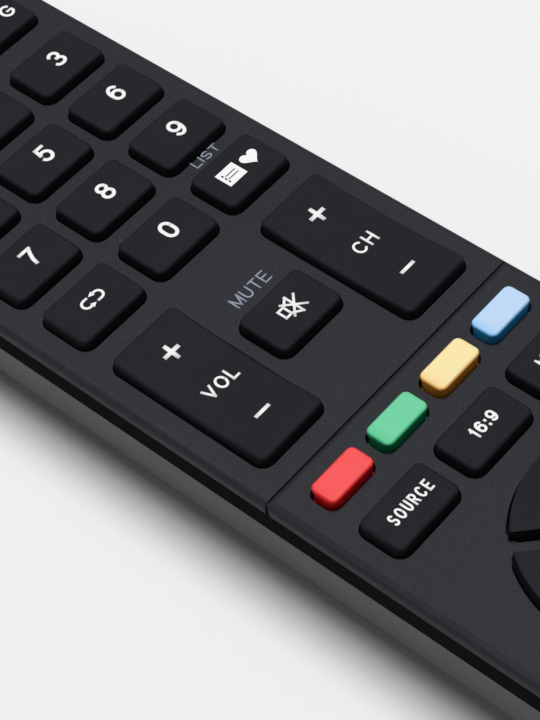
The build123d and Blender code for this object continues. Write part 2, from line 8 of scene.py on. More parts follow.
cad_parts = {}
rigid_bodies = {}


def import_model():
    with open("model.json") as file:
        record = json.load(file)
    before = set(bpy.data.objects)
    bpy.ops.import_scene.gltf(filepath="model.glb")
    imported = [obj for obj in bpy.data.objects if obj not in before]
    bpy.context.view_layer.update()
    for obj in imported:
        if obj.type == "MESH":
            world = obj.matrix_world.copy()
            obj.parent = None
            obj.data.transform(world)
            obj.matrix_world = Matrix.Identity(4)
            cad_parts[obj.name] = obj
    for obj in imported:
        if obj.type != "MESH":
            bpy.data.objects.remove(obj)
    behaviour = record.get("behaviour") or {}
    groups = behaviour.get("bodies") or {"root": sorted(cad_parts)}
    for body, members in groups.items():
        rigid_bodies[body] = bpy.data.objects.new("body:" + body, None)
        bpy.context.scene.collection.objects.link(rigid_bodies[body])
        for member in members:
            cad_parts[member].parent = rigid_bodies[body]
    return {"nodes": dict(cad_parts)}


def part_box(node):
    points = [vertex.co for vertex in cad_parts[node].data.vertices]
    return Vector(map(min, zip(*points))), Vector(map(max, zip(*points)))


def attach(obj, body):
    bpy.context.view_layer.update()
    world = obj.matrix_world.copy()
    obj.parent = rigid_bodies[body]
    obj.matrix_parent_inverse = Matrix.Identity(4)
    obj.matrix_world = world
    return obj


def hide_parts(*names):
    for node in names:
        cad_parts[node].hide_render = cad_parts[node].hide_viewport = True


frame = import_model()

bl_info = {
    "name": "Universal Remote Control",
    "version": (1, 0, 0),
    "blender": (4, 5, 0),
    "location": "View3D > Sidebar > Remote",
    "description": "Rubber keys, casing, printed legends and finishes of a hand-held infrared remote",
    "category": "Object",
}

# Metres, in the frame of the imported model: X across, +Y to the infrared end, +Z out of the keys
MM = 0.001
NEAR = 0.001 * MM            # places closer than this count as one
CORNER_SEGMENTS = 6
RIM_SEGMENTS = 5
DISH_STEPS = 8               # cuts across a long key on each side of its middle
ROUND_KEY_SIDES = 72
ROUND_KEY_DIP = 0.18 * MM
DIP_MARGIN = 0.45            # from the rim of a round key to its dip, as a share of the radius
RING_SPREAD = radians(100)   # angle of an arc of the ring before it is cut to length
RING_STEPS = 36
KEY_SMOOTHING = radians(40)
CASING_SMOOTHING = radians(35)
LEVEL = 0.99                 # a face's normal that runs along an axis has at least this share of it
FLAT_FACES = radians(0.2)    # faces of the casing that turn less than this are joined
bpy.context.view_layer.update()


def corners(node):
    """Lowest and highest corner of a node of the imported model."""
    low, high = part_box(node)
    return Vector(low), Vector(high)


def middle(node):
    """Middle of a node's box."""
    low, high = corners(node)
    return (low + high) / 2


PLATE_TOP = corners("faceplate")[1].z
KEY_TOP = corners("key_5")[1].z
KEY_FOOT = corners("key_5")[0].z


def keys(names):
    return ["key_" + name for name in names.split()]


# Keys, by the way that they are made; in the first three rows the first key is modelled and the others
# are copies of it, and each of the other keys is modelled on its own
TALL_KEYS = keys("5 1 2 3 4 6 7 8 9 0 recall favourites mute")
SHORT_KEYS = keys("aspect source menu text subtitle guide back info exit "
                  "rewind play forward record stop pause")
COLOUR_KEYS = keys("red green yellow blue")
ROUND_KEYS = keys("power ok")
ROCKERS = ["rocker_volume", "rocker_channel"]
RING_KEYS = ["nav_up", "nav_left", "nav_down", "nav_right"]

# Camera of the photograph
CAMERA_PLACE = Vector((-0.123395, -0.117391, 0.235934))
CAMERA_RIGHT = Vector((0.64833, -0.75681, -0.08310))
CAMERA_UP = Vector((0.63301, 0.47518, 0.61115))
CAMERA_LENS = 108.18         # millimetres, as is the sensor
CAMERA_SENSOR = 36.0
NEAREST_SEEN = 0.01
BACKDROP = (0.87, 0.87, 0.87, 1)


class Value:
    """A shader value with arithmetic: each sum or product adds a Math node."""

    def __init__(self, finish, socket):
        self.finish, self.socket = finish, socket

    def math(self, operation, *values):
        return self.finish.node("ShaderNodeMath", 0, {"operation": operation},
                                dict(enumerate(values)))

    def __add__(self, other):
        return self.math("ADD", self, other)

    def __rsub__(self, other):
        return self.math("SUBTRACT", other, self)

    def __mul__(self, other):
        return self.math("MULTIPLY", self, other)

    __radd__ = __add__
    __rmul__ = __mul__


class Finish:
    """A material in the making: its nodes, and the shader that they feed."""

    def __init__(self, name, **constants):
        self.material = bpy.data.materials.new(name)
        self.material.use_nodes = True
        self.tree = self.material.node_tree
        self.shader = self.tree.nodes["Principled BSDF"]
        for socket, value in constants.items():
            self.shader.inputs[socket.replace("_", " ")].default_value = value
        self.place = self.node("ShaderNodeTexCoord", "Object")

    def node(self, kind, output, settings=None, feeds=None):
        """Adds a node, sets it, feeds its sockets by name or number, and returns one of its outputs."""
        node = self.tree.nodes.new(kind)
        for name, value in (settings or {}).items():
            setattr(node, name, value)
        for socket, value in (feeds or {}).items():
            self.feed(node.inputs[socket], value)
        return Value(self, node.outputs[output])

    def feed(self, socket, value):
        if isinstance(value, Value):
            self.tree.links.new(value.socket, socket)
        else:
            socket.default_value = value

    def noise(self, size, detail=2.0, roughness=0.5):
        """Cloudy pattern whose patches are about as many millimetres across as its size says."""
        return self.node("ShaderNodeTexNoise", "Fac", None,
                         {"Vector": self.place, "Scale": 1 / (size * MM), "Detail": detail,
                          "Roughness": roughness})

    def band(self, value, low, high):
        """0 below low, 1 above high and a smooth step between."""
        return self.node("ShaderNodeMapRange", 0, {"interpolation_type": "SMOOTHSTEP"},
                         {"Value": value, "From Min": low, "From Max": high})

    def along(self, axis):
        """Place along X, Y or Z, which are 0, 1 and 2."""
        return self.node("ShaderNodeSeparateXYZ", axis, None, {0: self.place})

    def waves(self, axis, size, distortion, detail):
        """Wavy bands, a size apart in millimetres, that follow one another along an axis."""
        return self.node("ShaderNodeTexWave", "Fac", {"wave_type": "BANDS", "bands_direction": axis},
                         {"Vector": self.place, "Scale": 1 / (size * MM), "Distortion": distortion,
                          "Detail": detail})

    def dusted(self, base, dust, spacing, size, share, strength):
        """A colour with specks of dust on it, with their spacing and size in millimetres."""
        return self.mix(self.specks(spacing * MM, size * MM, share) * strength, base, dust)

    def specks(self, spacing, size, share):
        """Sparse round specks: a share of the cells of a loose grid holds one."""
        settings = {"feature": "F1"}
        feeds = {"Vector": self.place, "Scale": 1 / spacing}
        distance = self.node("ShaderNodeTexVoronoi", "Distance", settings, feeds)
        colour = self.node("ShaderNodeTexVoronoi", "Color", settings, feeds)
        draw = self.node("ShaderNodeSeparateColor", 0, None, {0: colour})
        reach = size / spacing / 2
        return (1 - self.band(distance, reach / 2, reach)) * self.band(draw, 1 - share, 1.001 - share)

    def mix(self, mask, first, second):
        """Colour that goes from the first to the second as the mask goes from 0 to 1."""
        def opaque(colour):
            return colour if isinstance(colour, Value) else (*colour, 1.0)
        return self.node("ShaderNodeMix", 2, {"data_type": "RGBA"},
                         {0: mask, 6: opaque(first), 7: opaque(second)})

    def shade(self, colour, low, high, mask):
        """A colour darkened to low times itself and lightened to high times itself by a mask."""
        return self.mix(mask, [low * part for part in colour], [high * part for part in colour])

    def paint(self, colour, roughness, height=None, depth=0, strength=0):
        """Feeds the shader and returns the material. A height from 0 to 1 gives relief, depth in mm."""
        self.feed(self.shader.inputs["Base Color"], colour)
        self.feed(self.shader.inputs["Roughness"], roughness)
        if height:
            bump = self.node("ShaderNodeBump", 0, None,
                             {"Height": height, "Distance": depth * MM, "Strength": strength})
            self.feed(self.shader.inputs["Normal"], bump)
        return self.material


def painted_plate(colours):
    """Fine matt paint of the faceplate: a close speckle, slow clouding and a little pale dust."""
    finish = Finish("painted_plate", Specular_IOR_Level=0.12)
    grain = finish.noise(0.16, 3.0, 0.6)
    cloud = finish.noise(18)
    base = finish.shade(colours.plate, 0.72, 1.28, finish.band(grain, 0.3, 0.7))
    base = finish.dusted(base, (0.15, 0.15, 0.16), 1.1, 0.12, 0.22, 0.22)
    base = finish.dusted(base, (0.30, 0.29, 0.28), 6.5, 0.2, 0.3, 0.5)
    return finish.paint(base, 0.46 + 0.10 * cloud + 0.08 * grain, grain, 0.012, 0.5)


def soft_rubber(name, colour, dust_share):
    """Matt silicone of the keys: dull, faintly pitted, with specks of dust and rubbed patches."""
    finish = Finish(name, Specular_IOR_Level=0.14)
    grain = finish.noise(0.22, 3.0, 0.6)
    rubbed = finish.noise(5, 3.0)
    base = finish.shade(colour, 0.78, 1.24, finish.band(grain, 0.32, 0.68))
    base = finish.dusted(base, (0.11, 0.11, 0.115), 1.5, 0.11, 0.3, 0.22)
    base = finish.dusted(base, (0.26, 0.25, 0.24), 4.7, 0.18, dust_share, 0.5)
    return finish.paint(base, 0.62 + 0.14 * rubbed, grain, 0.01, 0.5)


def glowing_rubber(key, name, deep, pale):
    """Cloudy coloured silicone with some light scattered through it: its own deep colour, with a painted
    sheen that turns its top pale and fades out towards its -X edge.
    """
    finish = Finish(name, Specular_IOR_Level=0.5, Subsurface_Weight=0.35, Subsurface_Scale=1.2 * MM)
    low, high = corners(key)
    grain = finish.noise(0.3)
    cloud = finish.noise(3)
    # Painted sheen: this mask paints the top pale where the lamp's shine would be. It fades out towards
    # the key's -X edge and down its sides.
    shine = finish.band(finish.along(0), low.x - 1.5 * MM, low.x + 2.5 * MM)
    shine = shine * finish.band(finish.along(2), high.z - 0.32 * MM, high.z - 0.02 * MM)
    # deep is the key's own colour; pale is the colour of the painted sheen on its top.
    base = finish.mix(shine, finish.shade(deep, 0.92, 1.06, cloud), finish.shade(pale, 0.96, 1.03, cloud))
    base = finish.dusted(base, (0.6, 0.6, 0.6), 1.9, 0.12, 0.2, 0.2)
    return finish.paint(base, 0.48 + 0.12 * grain, grain, 0.006, 0.4)


def moulded_plastic(name, colour, roughness, shine=0.15):
    """Moulded casing plastic with the fine spark-eroded grain of its tool."""
    finish = Finish(name, Specular_IOR_Level=shine)
    grain = finish.noise(0.25, 4.0, 0.65)
    cloud = finish.noise(12, 3.0)
    base = finish.shade(colour, 0.86, 1.14, finish.band(grain, 0.3, 0.7))
    base = finish.dusted(base, (0.3, 0.3, 0.3), 5.1, 0.16, 0.3, 0.3)
    return finish.paint(base, roughness - 0.05 + 0.12 * cloud, grain, 0.02, 0.6)


def window_plastic(colours):
    """Dark polished plastic that lets infrared through, with a few wiping scratches."""
    finish = Finish("window_plastic", Specular_IOR_Level=0.5, Coat_Roughness=0.05)
    streak = finish.waves("Z", 2, 6.0, 3.0)
    cloud = finish.noise(2)
    finish.feed(finish.shader.inputs["Coat Weight"], 0.3)
    return finish.paint(finish.shade(colours.window, 0.8, 1.3, cloud),
                        0.06 + 0.10 * finish.band(streak, 0.8, 1.0))


def printing_ink(name, colour, wear):
    """Screen-printed ink, a little uneven, thinner in worn spots."""
    finish = Finish(name, Specular_IOR_Level=0.3)
    grain = finish.noise(0.12)
    spots = finish.band(finish.noise(0.5, 3.0), 0.62, 0.75)
    base = finish.shade(colour, 0.92, 1.05, grain)
    worn = [part * 0.55 for part in colour]
    return finish.paint(finish.mix(spots * wear, base, worn), 0.55 + 0.1 * grain, grain, 0.004, 0.4)


def sheet_metal(name, colour, roughness):
    """Plated metal with the fine drawing lines of its strip or wire."""
    finish = Finish(name, Metallic=1.0)
    drawn = finish.waves("X", 0.6, 3.0, 2.0)
    cloud = finish.noise(1.5, 3.0)
    return finish.paint(finish.shade(colour, 0.82, 1.08, cloud), roughness + 0.12 * drawn,
                        drawn, 0.004, 0.4)


def board_laminate(colours):
    """Green solder mask over the weave of the laminate and a web of copper tracks."""
    finish = Finish("board_laminate", Specular_IOR_Level=0.5)
    tracks = finish.node("ShaderNodeTexBrick", "Fac", {"offset": 0.5},
                         {"Vector": finish.place, "Scale": 1 / (3 * MM), "Mortar Size": 0.06,
                          "Mortar Smooth": 0.1, "Brick Width": 1.7, "Row Height": 0.42})
    weave = finish.noise(0.4)
    mask = finish.shade(colours.board, 0.8, 1.15, weave)
    copper = [min(1.0, part * 1.9 + 0.02) for part in colours.board]
    return finish.paint(finish.mix(tracks, mask, copper), 0.34 + 0.1 * weave, tracks, 0.035, 0.6)


def clear_epoxy(name, colour, body_roughness):
    """Cast lamp epoxy with faint clouding in it."""
    finish = Finish(name, Transmission_Weight=0.7, IOR=1.52)
    cloud = finish.noise(0.8)
    return finish.paint(finish.shade(colour, 0.9, 1.05, cloud), body_roughness + 0.08 * cloud)


def cell_jacket():
    """Printed jacket of a plain cell: dark sleeve with one pale band, over bright metal at both ends."""
    finish = Finish("cell_jacket", Specular_IOR_Level=0.5)
    low, high = corners("battery_cell_a")
    along = finish.along(1)
    inside = finish.band(along, low.y + 1.2 * MM, low.y + 1.3 * MM)
    inside = inside * (1 - finish.band(along, high.y - 1.3 * MM, high.y - 1.2 * MM))
    pale = finish.band(along, low.y + 9 * MM, low.y + 9.1 * MM)
    pale = pale * (1 - finish.band(along, low.y + 17 * MM, low.y + 17.1 * MM))
    cloud = finish.noise(1.2)
    sleeve = finish.mix(pale, finish.shade((0.035, 0.045, 0.06), 0.85, 1.15, cloud), (0.5, 0.42, 0.2))
    finish.feed(finish.shader.inputs["Metallic"], 1 - inside)
    return finish.paint(finish.mix(inside, (0.62, 0.61, 0.60), sleeve), 0.28 + 0.1 * cloud)


def deselect():
    """Leaves no object selected."""
    bpy.ops.object.select_all(action="DESELECT")


def take(*pieces):
    """Selects these pieces alone, the first as the active one."""
    deselect()
    for piece in pieces:
        piece.select_set(True)
    bpy.context.view_layer.objects.active = pieces[0]


def stretch(scale):
    """Gives the active primitive its size, put into its mesh with its place."""
    bpy.context.object.scale = scale
    bpy.ops.object.transform_apply(location=True, rotation=True, scale=True)


def edit():
    """Starts edit mode with the whole mesh selected."""
    bpy.ops.object.mode_set(mode="EDIT")
    select_mesh()


def select_mesh():
    bpy.ops.mesh.select_all(action="SELECT")


def point_outwards():
    """Turns the normals of the whole mesh outwards."""
    select_mesh()
    bpy.ops.mesh.normals_make_consistent(inside=False)


def weld():
    """Makes one of the vertices that lie in one place, all over the mesh."""
    select_mesh()
    bpy.ops.mesh.remove_doubles(threshold=NEAR)


def choose(kind, wanted):
    """In edit mode, selects the faces or edges that are wanted and nothing else."""
    bpy.ops.mesh.select_all(action="DESELECT")
    bpy.ops.mesh.select_mode(type=kind)
    data = bpy.context.edit_object.data
    mesh = bmesh.from_edit_mesh(data)
    for item in (mesh.faces if kind == "FACE" else mesh.edges):
        if wanted(item):
            item.select_set(True)
    bmesh.update_edit_mesh(data)


def upright(item):
    """Whether an edge stands upright."""
    run = item.verts[1].co - item.verts[0].co
    return abs(run.z) > NEAR and Vector((run.x, run.y)).length < NEAR


def bevel(offset, segments):
    bpy.ops.mesh.bevel(offset=offset, segments=segments, profile=0.5, affect="EDGES", clamp_overlap=True)


def add_modifier(kind, **settings):
    """Adds a modifier to the active piece and applies it."""
    piece = bpy.context.object
    modifier = piece.modifiers.new(kind.lower(), kind)
    for name, value in settings.items():
        setattr(modifier, name, value)
    bpy.ops.object.modifier_apply(modifier=modifier.name)


def settle(name, material, body):
    """Names the active piece, applies its place, gives it its finish and sets it on its body."""
    piece = bpy.context.object
    bpy.ops.object.transform_apply(location=True, rotation=True, scale=True)
    piece.name = name
    piece.data.name = name
    piece.data.materials.clear()
    piece.data.materials.append(material)
    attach(piece, body)
    return piece


def stand_in(node, ending, material, body):
    """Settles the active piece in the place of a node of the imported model."""
    piece = settle(node + ending, material, body)
    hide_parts(node)


def set_key(name, material, slot="key_rubber_black"):
    """Settles the active key on its own body."""
    stand_in(name, "_key", material, name + "_cap")


def smooth(angle):
    """Smooths the active piece over edges flatter than an angle, weighted by the size of its faces."""
    bpy.ops.object.shade_smooth_by_angle(angle=angle, keep_sharp_edges=False)
    add_modifier("WEIGHTED_NORMAL", mode="FACE_AREA", weight=80, keep_sharp=True)


def copy_piece(piece, name):
    """Duplicate of a piece with its own mesh, active and selected."""
    take(piece)
    bpy.ops.object.duplicate(linked=False)
    copy = bpy.context.object
    copy.name = name
    return copy


def start_block(low, high, foot_corner, top_corner, flare):
    """Starts a square key: a stem, and over it two round-cornered outlines bridged into its sides."""
    centre = (low + high) / 2
    wide, deep = high.x - low.x, high.y - low.y
    deselect()
    bpy.ops.mesh.primitive_plane_add(size=1, location=(centre.x, centre.y, PLATE_TOP))
    stretch((wide, deep, 1))
    edit()
    bpy.ops.mesh.bevel(offset=foot_corner, segments=CORNER_SEGMENTS, affect="VERTICES")
    bpy.ops.mesh.select_all(action="DESELECT")
    place = (centre.x, centre.y, high.z)
    bpy.ops.mesh.primitive_plane_add(size=1, location=place)
    bpy.ops.transform.resize(value=(wide - 2 * flare, deep - 2 * flare, 1), center_override=place)
    bpy.ops.mesh.bevel(offset=top_corner, segments=CORNER_SEGMENTS, affect="VERTICES")
    select_mesh()
    bpy.ops.mesh.delete(type="ONLY_FACE")
    select_mesh()
    bpy.ops.mesh.bridge_edge_loops()
    for level in (PLATE_TOP, high.z):
        choose("EDGE", lambda item: item.is_boundary and abs(item.verts[0].co.z - level) < NEAR)
        bpy.ops.mesh.edge_face_add()
    point_outwards()
    choose("FACE", lambda face: face.normal.z < -LEVEL)
    bpy.ops.mesh.extrude_region_move(TRANSFORM_OT_translate={"value": (0, 0, low.z - PLATE_TOP)})


def draw_top(corner, flare):
    """Rounds the upright corners of the stem in edit mode, and draws its top up and in by the flare."""
    if corner:
        choose("EDGE", lambda item: upright(item) and item.calc_face_angle(0) > radians(45))
        bevel(corner, CORNER_SEGMENTS)
    choose("FACE", lambda face: face.normal.z > LEVEL)
    bpy.ops.mesh.inset(thickness=flare, depth=KEY_TOP - PLATE_TOP)


def round_rim(edge, segments):
    """Rounds the rim round the top of the key in edit mode."""
    choose("EDGE", lambda item: all(vert.co.z > KEY_TOP - NEAR for vert in item.verts)
           and any(face.normal.z < 0.5 for face in item.link_faces))
    bevel(edge, segments)


def push_flange(foot, sizes):
    """Draws the flange out of the foot of the stem in edit mode."""
    flange_top = foot + sizes.flange_thickness
    cut((0, 0, flange_top), (0, 0, 1))
    push_out(lambda face: face.calc_center_median().z < flange_top and abs(face.normal.z) < 0.1,
             sizes.flange_width)


def dish(key, y, sizes):
    """How far the top of a key dips at a distance from its middle, and how steep it is there."""
    inside = 1 - (y / sizes.dish_reach) ** 2
    if key not in ROCKERS or inside <= 0:
        return 0.0, 0.0
    return sizes.dish_depth * inside, 2 * sizes.dish_depth * y / sizes.dish_reach ** 2


def cut(place, direction, **options):
    """Cuts the whole mesh in edit mode along a plane."""
    select_mesh()
    bpy.ops.mesh.bisect(plane_co=place, plane_no=direction, **options)


def push_out(wanted, distance):
    """Extrudes the wanted faces along their normals."""
    choose("FACE", wanted)
    bpy.ops.mesh.extrude_region_shrink_fatten(
        TRANSFORM_OT_shrink_fatten={"value": distance, "use_even_offset": True})


def finish_key():
    """Leaves edit mode with the normals outwards and smooths the key."""
    point_outwards()
    bpy.ops.object.mode_set(mode="OBJECT")
    smooth(KEY_SMOOTHING)


def length(name, description, default, least, precision=5):
    """A length that a user can change, with its default and its least value in millimetres."""
    return bpy.props.FloatProperty(name=name, description=description, default=default * MM,
                                   min=least * MM, unit="LENGTH", precision=precision)


class RemoteKeySizes(bpy.types.PropertyGroup):
    flare: length(
        "Flare", "How much further out a black key's sides stand at the faceplate than on top", 0.27, 0.0)
    edge_round: length("Edge Round", "Round of the top rim of a key", 0.45, 0.05)
    foot_corner_round: length(
        "Foot Corner Round", "Round of a square key's corners at the faceplate", 1.6, 0.1)
    top_corner_round: length("Top Corner Round", "Round of a square key's corners on top", 0.85, 0.1)
    colour_end_room: length(
        "Colour End Room", "Extra width of the flange at each end of a colour key", 0.15, 0.0)
    dish_depth: length("Dish Depth", "How far the top of a long key dips in the middle", 0.6, 0.0)
    dish_reach: length("Dish Reach", "From the middle of a long key to where its dish begins", 11.4, 1.0)
    flange_width: length(
        "Flange Width", "Width of the flange that holds a key under the faceplate", 0.45, 0.1)
    flange_thickness: length("Flange Thickness", "Thickness of that flange", 0.8, 0.1)
    rocker_flange_length: length(
        "Rocker Flange Length", "Length of the flange at the middle of a long key", 8.0, 1.0)
    fulcrum_width: length("Fulcrum Width", "Width of the rib that a long key rocks on", 8.0, 1.0)
    fulcrum_thickness: length("Fulcrum Thickness", "Thickness of that rib", 1.0, 0.2)
    ring_gap: length("Ring Gap", "Gap between the OK key and the ring", 2.6, 0.1)
    ring_slot: length("Ring Slot", "Web of faceplate between two arcs of the ring", 2.8, 0.1)
    ring_corner_round: length("Ring Corner Round", "Round of the upright corners of an arc", 1.2, 0.1)


class RemotePrintSizes(bpy.types.PropertyGroup):
    digit_height: length("Digit Height", "Height of the digits on the keys", 3.3, 0.5)
    digit_stroke: length("Digit Stroke", "Width of a line in a digit", 0.6, 0.05)
    stroke: length("Stroke", "Width of a line in a printed word or sign", 0.4, 0.05)
    ink_height: length("Ink Height", "How far the ink stands above its surface", 0.02, 0.001, 6)


def colour_property(name, description, default):
    """A colour that a user can change."""
    return bpy.props.FloatVectorProperty(name=name, description=description, default=default, size=3,
                                         subtype="COLOR", min=0.0, max=1.0)


class RemoteColours(bpy.types.PropertyGroup):
    plate: colour_property("Plate", "Charcoal of the faceplate", (0.0235, 0.0245, 0.0305))
    rubber: colour_property("Rubber", "Black silicone of the keys", (0.0105, 0.0115, 0.0145))
    # Each colour key has its own colour, seen on its sides, and a pale top colour. The top colour is a
    # painted sheen that stands in for the shine of the lamp on it.
    red: colour_property("Red Key", "Sides of the red keys", (0.90, 0.002, 0.006))
    red_top: colour_property("Red Key Top", "Shining top of the red key", (0.93, 0.058, 0.058))
    green: colour_property("Green Key", "Sides of the green key", (0.0, 0.42, 0.16))
    green_top: colour_property("Green Key Top", "Shining top of the green key", (0.135, 0.63, 0.34))
    yellow: colour_property("Yellow Key", "Sides of the yellow key", (0.95, 0.38, 0.035))
    yellow_top: colour_property("Yellow Key Top", "Shining top of the yellow key", (0.95, 0.78, 0.40))
    blue: colour_property("Blue Key", "Sides of the blue key", (0.03, 0.46, 0.95))
    blue_top: colour_property("Blue Key Top", "Shining top of the blue key", (0.50, 0.68, 0.90))
    band: colour_property("Band", "Black frame under the faceplate", (0.0115, 0.0115, 0.0125))
    belly: colour_property("Belly", "Grey back and battery cover", (0.088, 0.088, 0.094))
    window: colour_property("Window", "Infrared window", (0.012, 0.003, 0.004))
    board: colour_property("Board", "Solder mask of the board", (0.004, 0.06, 0.02))
    key_ink: colour_property("Key Ink", "Ink of the signs on the keys", (0.92, 0.92, 0.93))
    plate_ink: colour_property("Plate Ink", "Ink of the words on the faceplate", (0.30, 0.34, 0.42))


class RemoteStage(bpy.types.PropertyGroup):
    floor_size: bpy.props.FloatProperty(
        name="Floor Size", description="Side of the pale floor", default=6.0, min=1.0, unit="LENGTH")
    floor_colour: colour_property("Floor Colour", "Pale floor", (0.87, 0.87, 0.87))
    lamp_distance: bpy.props.FloatProperty(
        name="Lamp Distance", description="From the remote to the soft lamp", default=4.0, min=0.2,
        unit="LENGTH")
    lamp_size: bpy.props.FloatProperty(
        name="Lamp Size", description="Side of the soft lamp", default=1.92, min=0.05, unit="LENGTH")
    lamp_power: bpy.props.FloatProperty(
        name="Lamp Power", description="Power of the soft lamp in watts", default=152.0, min=0.0)
    lamp_aim: bpy.props.FloatVectorProperty(
        name="Lamp Direction", description="Direction of the lamp from the remote",
        default=(0.08, 0.15, 0.98), size=3, subtype="DIRECTION")
    sky: bpy.props.FloatProperty(
        name="Sky", description="Strength of the even light from all round", default=0.13,
        min=0.0, max=1.0)


class REMOTE_OT_block_keys(bpy.types.Operator):
    """Model the square keys: a stem with two outlines bridged over it, a rounded rim and a flange"""
    bl_idname = "remote.block_keys"
    bl_label = "Square Keys"

    def model(self, pattern, flare):
        """One finished key at the place of its node."""
        sizes = bpy.context.scene.remote_keys
        low, high = corners(pattern)
        end_room = sizes.colour_end_room if pattern in COLOUR_KEYS else 0
        skirt = Vector((sizes.flange_width + end_room, sizes.flange_width, 0))
        low, high = low + skirt, high - skirt
        start_block(low, high, sizes.foot_corner_round, sizes.top_corner_round, flare)
        round_rim(sizes.edge_round, RIM_SEGMENTS)
        push_flange(low.z, sizes)
        if end_room:
            push_out(lambda face: face.calc_center_median().z < low.z + sizes.flange_thickness
                     and abs(face.normal.x) > LEVEL, end_room)
        finish_key()
        return bpy.context.object

    def execute(self, context):
        sizes = context.scene.remote_keys
        rubber = soft_rubber("key_rubber", context.scene.remote_colours.rubber, 0.30)
        for names, flare in ((TALL_KEYS, sizes.flare), (SHORT_KEYS, sizes.flare), (COLOUR_KEYS, 0)):
            pattern = self.model(names[0], flare)
            for name in names[1:]:
                copy = copy_piece(pattern, name + "_key")
                copy.location = middle(name) - middle(names[0])
                self.hand_over(name, rubber)
            take(pattern)
            self.hand_over(names[0], rubber)
        return {"FINISHED"}

    def hand_over(self, name, rubber):
        """Settles the active key, in its own colour with a painted sheen on its top where it has one."""
        if name in COLOUR_KEYS:
            colours = bpy.context.scene.remote_colours
            hue = name.split("_")[1]
            # pale is the colour of the painted sheen on the key's top.
            deep, pale = getattr(colours, hue), getattr(colours, hue + "_top")
            set_key(name, glowing_rubber(name, hue + "_rubber", deep, pale), "key_rubber_" + hue)
        else:
            set_key(name, rubber)


class REMOTE_OT_rocker_keys(bpy.types.Operator):
    """Model the two long keys, each with a dished top, side flanges and the rib that it rocks on"""
    bl_idname = "remote.rocker_keys"
    bl_label = "Long Keys"

    def execute(self, context):
        sizes = context.scene.remote_keys
        rubber = bpy.data.materials["key_rubber"]
        for name in ROCKERS:
            low, high = corners(name)
            rib_foot = low.z
            low = Vector((low.x + sizes.flange_width, low.y, KEY_FOOT))
            high = Vector((high.x - sizes.flange_width, high.y, high.z))
            centre = (low + high) / 2
            start_block(low, high, sizes.foot_corner_round, sizes.top_corner_round, sizes.flare)
            round_rim(sizes.edge_round, RIM_SEGMENTS)
            self.dip(name, centre.y, sizes)
            flange_top = low.z + sizes.flange_thickness
            half_flange = sizes.rocker_flange_length / 2
            half_rib = Vector((sizes.fulcrum_width, sizes.fulcrum_thickness)) / 2
            cut((0, 0, flange_top), (0, 0, 1))
            for side in (-1, 1):
                cut((0, centre.y + side * half_flange, 0), (0, 1, 0))
                cut((0, centre.y + side * half_rib.y, 0), (0, 1, 0))
                cut((centre.x + side * half_rib.x, 0, 0), (1, 0, 0))

            def on_flange(face):
                place = face.calc_center_median()
                return (place.z < flange_top and abs(place.y - centre.y) < half_flange
                        and abs(face.normal.x) > 0.9)

            def on_rib(face):
                place = face.calc_center_median() - centre
                return face.normal.z < -0.9 and abs(place.x) < half_rib.x and abs(place.y) < half_rib.y
            push_out(on_flange, sizes.flange_width)
            push_out(on_rib, KEY_FOOT - rib_foot)
            finish_key()
            set_key(name, rubber)
        return {"FINISHED"}

    def dip(self, name, centre_y, sizes):
        """Cuts the key across at even steps and lowers the cuts on top, which dishes it lengthways."""
        places = [sizes.dish_reach * i / DISH_STEPS for i in range(-DISH_STEPS, DISH_STEPS + 1)]
        for place in places:
            cut((0, centre_y + place, 0), (0, 1, 0))
        for place in places[1:-1]:
            choose("EDGE", lambda item: all(abs(vert.co.y - centre_y - place) < NEAR
                                            and vert.co.z > KEY_TOP - sizes.edge_round - NEAR
                                            for vert in item.verts))
            bpy.ops.transform.translate(value=(0, 0, -dish(name, place, sizes)[0]))


class REMOTE_OT_round_keys(bpy.types.Operator):
    """Model the round keys from cylinders, with a rounded rim and a flange"""
    bl_idname = "remote.round_keys"
    bl_label = "Round Keys"

    def execute(self, context):
        sizes = context.scene.remote_keys
        colours = context.scene.remote_colours
        finishes = {"key_power": (soft_rubber("power_rubber", colours.red, 0.15), "key_rubber_power"),
                    "key_ok": (bpy.data.materials["key_rubber"], "key_rubber_black")}
        for name in ROUND_KEYS:
            low, high = corners(name)
            radius = (high.x - low.x) / 2 - sizes.flange_width
            deselect()
            place = middle(name)
            bpy.ops.mesh.primitive_cylinder_add(
                vertices=ROUND_KEY_SIDES, radius=radius, depth=PLATE_TOP - low.z,
                location=(place.x, place.y, (PLATE_TOP + low.z) / 2))
            stretch((1, 1, 1))
            edit()
            draw_top(0, sizes.flare)
            round_rim(sizes.edge_round, RIM_SEGMENTS)
            choose("FACE", lambda face: face.normal.z > LEVEL)
            bpy.ops.mesh.inset(thickness=radius * DIP_MARGIN)
            bpy.ops.transform.translate(value=(0, 0, -ROUND_KEY_DIP))
            push_flange(low.z, sizes)
            finish_key()
            set_key(name, *finishes[name])
        return {"FINISHED"}


